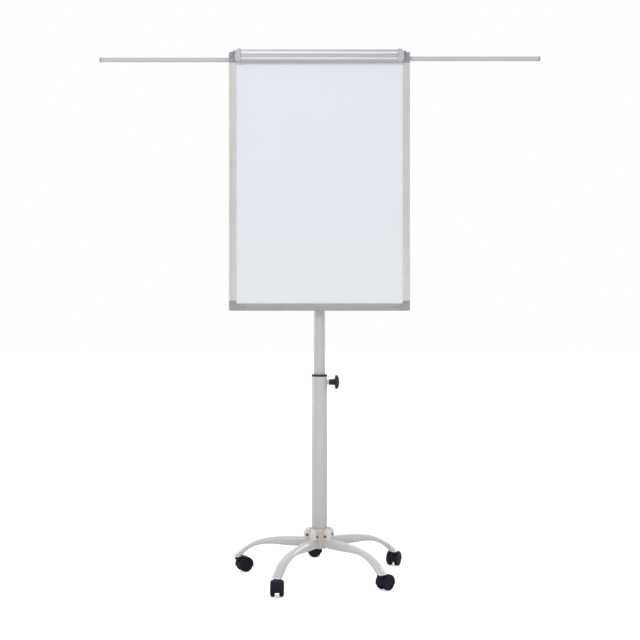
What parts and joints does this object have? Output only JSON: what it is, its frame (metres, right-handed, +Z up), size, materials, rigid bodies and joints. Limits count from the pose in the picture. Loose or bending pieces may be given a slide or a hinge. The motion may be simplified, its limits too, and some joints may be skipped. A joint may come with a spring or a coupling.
{
  "type": "mobile flipchart easel",
  "caption": "Mobile flipchart easel: framed white writing board with pad clamp and sliding side arms on a telescopic column with a swivel-caster star base.",
  "frame": {"origin": "on the floor, under the column's axis", "axes": "+X to the right of someone facing the board, +Y away from them, behind the board, +Z up"},
  "size_m": [1.72, 0.6917, 2.0464],
  "materials": {
    "arm_paint": "smooth light grey powder coat over cast aluminium",
    "hub_paint": "glossy light grey powder coat over cast aluminium",
    "tube_paint": "satin light grey powder coat over steel tube",
    "plug_plastic": "pale moulded plastic",
    "black_plastic": "black moulded plastic, fine texture",
    "caster_plastic": "blue-black nylon, slightly glossy",
    "knob_plastic": "dark moulded plastic, fine texture",
    "bright_steel": "zinc plated steel",
    "black_steel": "black coated steel",
    "rail_metal": "satin anodised aluminium",
    "cap_plastic": "mid grey moulded plastic",
    "sheet_enamel": "glossy white enamel on thin steel",
    "panel_board": "grey faced hardboard",
    "guide_plastic": "dark grey moulded plastic",
    "bar_metal": "satin anodised aluminium",
    "bar_cap_plastic": "light grey moulded plastic"
  },
  "bodies": {
    "base": {"base_hub": "hub_paint", "base_arm_1": "arm_paint", "base_arm_2": "arm_paint", "base_arm_3": "arm_paint", "base_arm_4": "arm_paint", "base_arm_5": "arm_paint", "arm_end_plugs": "plug_plastic", "arm_bolts": "black_steel", "lower_tube": "tube_paint", "column_collar": "black_plastic"},
    "caster_1": {"caster_hood_1": "caster_plastic", "caster_stem_1": "bright_steel", "caster_axle_1": "bright_steel"},
    "wheel_1_left": {"wheel_1_left": "caster_plastic"},
    "wheel_1_right": {"wheel_1_right": "caster_plastic"},
    "caster_2": {"caster_hood_2": "caster_plastic", "caster_stem_2": "bright_steel", "caster_axle_2": "bright_steel"},
    "wheel_2_left": {"wheel_2_left": "caster_plastic"},
    "wheel_2_right": {"wheel_2_right": "caster_plastic"},
    "caster_3": {"caster_hood_3": "caster_plastic", "caster_stem_3": "bright_steel", "caster_axle_3": "bright_steel"},
    "wheel_3_left": {"wheel_3_left": "caster_plastic"},
    "wheel_3_right": {"wheel_3_right": "caster_plastic"},
    "caster_4": {"caster_hood_4": "caster_plastic", "caster_stem_4": "bright_steel", "caster_axle_4": "bright_steel"},
    "wheel_4_left": {"wheel_4_left": "caster_plastic"},
    "wheel_4_right": {"wheel_4_right": "caster_plastic"},
    "caster_5": {"caster_hood_5": "caster_plastic", "caster_stem_5": "bright_steel", "caster_axle_5": "bright_steel"},
    "wheel_5_left": {"wheel_5_left": "caster_plastic"},
    "wheel_5_right": {"wheel_5_right": "caster_plastic"},
    "clamp_shoe": {"friction_shoe": "plug_plastic"},
    "clamp_knob": {"clamp_screw": "bright_steel", "clamp_knob": "knob_plastic"},
    "column": {"upper_tube": "tube_paint", "glide_bush": "black_plastic", "tilt_head": "black_steel", "tilt_bolt": "bright_steel"},
    "board": {"board_bracket": "black_steel", "rail_left": "rail_metal", "rail_right": "rail_metal", "rail_top": "rail_metal", "rail_bottom": "rail_metal", "corner_caps": "cap_plastic", "writing_sheet": "sheet_enamel", "backing_panel": "panel_board", "arm_guides": "guide_plastic", "clamp_brackets": "cap_plastic"},
    "clamp_bar": {"clamp_bar": "bar_metal", "clamp_end_caps": "bar_cap_plastic"},
    "peg_left": {"pad_peg_left": "black_steel"},
    "peg_right": {"pad_peg_right": "black_steel"},
    "arm_left": {"side_arm_left": "tube_paint", "side_arm_tip_left": "cap_plastic"},
    "arm_right": {"side_arm_right": "tube_paint", "side_arm_tip_right": "cap_plastic"}
  },
  "joints": [
    {"name": "height_slide", "type": "slide", "parent": "base", "child": "column", "axis": [0, 0, 1], "range_m": [-0.36, 0.06]},
    {"name": "board_tilt", "type": "hinge", "parent": "column", "child": "board", "pos_m": [0, 0, 1.46], "axis": [-1, 0, 0], "range_deg": [0, 18]},
    {"name": "shoe_slide", "type": "slide", "parent": "base", "child": "clamp_shoe", "axis": [1, 0, 0], "range_m": [0, 0.00188]},
    {"name": "knob_turn", "type": "hinge", "parent": "clamp_shoe", "child": "clamp_knob", "pos_m": [0, 0, 0.757], "axis": [1, 0, 0], "range_deg": [0, 540]},
    {"name": "clamp_hinge", "type": "hinge", "parent": "board", "child": "clamp_bar", "pos_m": [0, -0.066, 2.0335], "axis": [-1, 0, 0], "range_deg": [0, 70], "stiffness_Nm_per_rad": 0.6, "springref_deg": -17.19},
    {"name": "peg_slide_left", "type": "slide", "parent": "board", "child": "peg_left", "axis": [-1, 0, 0], "range_m": [-0.07, 0.07]},
    {"name": "peg_slide_right", "type": "slide", "parent": "board", "child": "peg_right", "axis": [1, 0, 0], "range_m": [-0.07, 0.07]},
    {"name": "arm_slide_left", "type": "slide", "parent": "board", "child": "arm_left", "axis": [1, 0, 0], "range_m": [0, 0.5]},
    {"name": "arm_slide_right", "type": "slide", "parent": "board", "child": "arm_right", "axis": [-1, 0, 0], "range_m": [0, 0.5]},
    {"name": "swivel_1", "type": "hinge", "parent": "base", "child": "caster_1", "pos_m": [-0.15305, -0.28784, 0.062], "axis": [0, 0, 1], "continuous": true},
    {"name": "roll_1_left", "type": "hinge", "parent": "caster_1", "child": "wheel_1_left", "pos_m": [-0.15305, -0.31284, 0.028], "axis": [1, 0, 0], "continuous": true},
    {"name": "roll_1_right", "type": "hinge", "parent": "caster_1", "child": "wheel_1_right", "pos_m": [-0.15305, -0.31284, 0.028], "axis": [1, 0, 0], "continuous": true},
    {"name": "swivel_2", "type": "hinge", "parent": "base", "child": "caster_2", "pos_m": [0.22646, -0.2345, 0.062], "axis": [0, 0, 1], "continuous": true},
    {"name": "roll_2_left", "type": "hinge", "parent": "caster_2", "child": "wheel_2_left", "pos_m": [0.24414, -0.21683, 0.028], "axis": [-0.7071, 0.7071, 0], "continuous": true},
    {"name": "roll_2_right", "type": "hinge", "parent": "caster_2", "child": "wheel_2_right", "pos_m": [0.24414, -0.21683, 0.028], "axis": [-0.7071, 0.7071, 0], "continuous": true},
    {"name": "swivel_3", "type": "hinge", "parent": "base", "child": "caster_3", "pos_m": [0.29301, 0.14291, 0.062], "axis": [0, 0, 1], "continuous": true},
    {"name": "roll_3_left", "type": "hinge", "parent": "caster_3", "child": "wheel_3_left", "pos_m": [0.30318, 0.16575, 0.028], "axis": [-0.9135, 0.4067, 0], "continuous": true},
    {"name": "roll_3_right", "type": "hinge", "parent": "caster_3", "child": "wheel_3_right", "pos_m": [0.30318, 0.16575, 0.028], "axis": [-0.9135, 0.4067, 0], "continuous": true},
    {"name": "swivel_4", "type": "hinge", "parent": "base", "child": "caster_4", "pos_m": [-0.04537, 0.32283, 0.062], "axis": [0, 0, 1], "continuous": true},
    {"name": "roll_4_left", "type": "hinge", "parent": "caster_4", "child": "wheel_4_left", "pos_m": [-0.02037, 0.32283, 0.028], "axis": [0, 1, 0], "continuous": true},
    {"name": "roll_4_right", "type": "hinge", "parent": "caster_4", "child": "wheel_4_right", "pos_m": [-0.02037, 0.32283, 0.028], "axis": [0, 1, 0], "continuous": true},
    {"name": "swivel_5", "type": "hinge", "parent": "base", "child": "caster_5", "pos_m": [-0.32105, 0.05661, 0.062], "axis": [0, 0, 1], "continuous": true},
    {"name": "roll_5_left", "type": "hinge", "parent": "caster_5", "child": "wheel_5_left", "pos_m": [-0.2994, 0.06911, 0.028], "axis": [-0.5, 0.866, 0], "continuous": true},
    {"name": "roll_5_right", "type": "hinge", "parent": "caster_5", "child": "wheel_5_right", "pos_m": [-0.2994, 0.06911, 0.028], "axis": [-0.5, 0.866, 0], "continuous": true}
  ],
  "couplings": [
    {"joint": "shoe_slide", "follows": "knob_turn", "m_per_rad": 0.00019894}
  ]
}
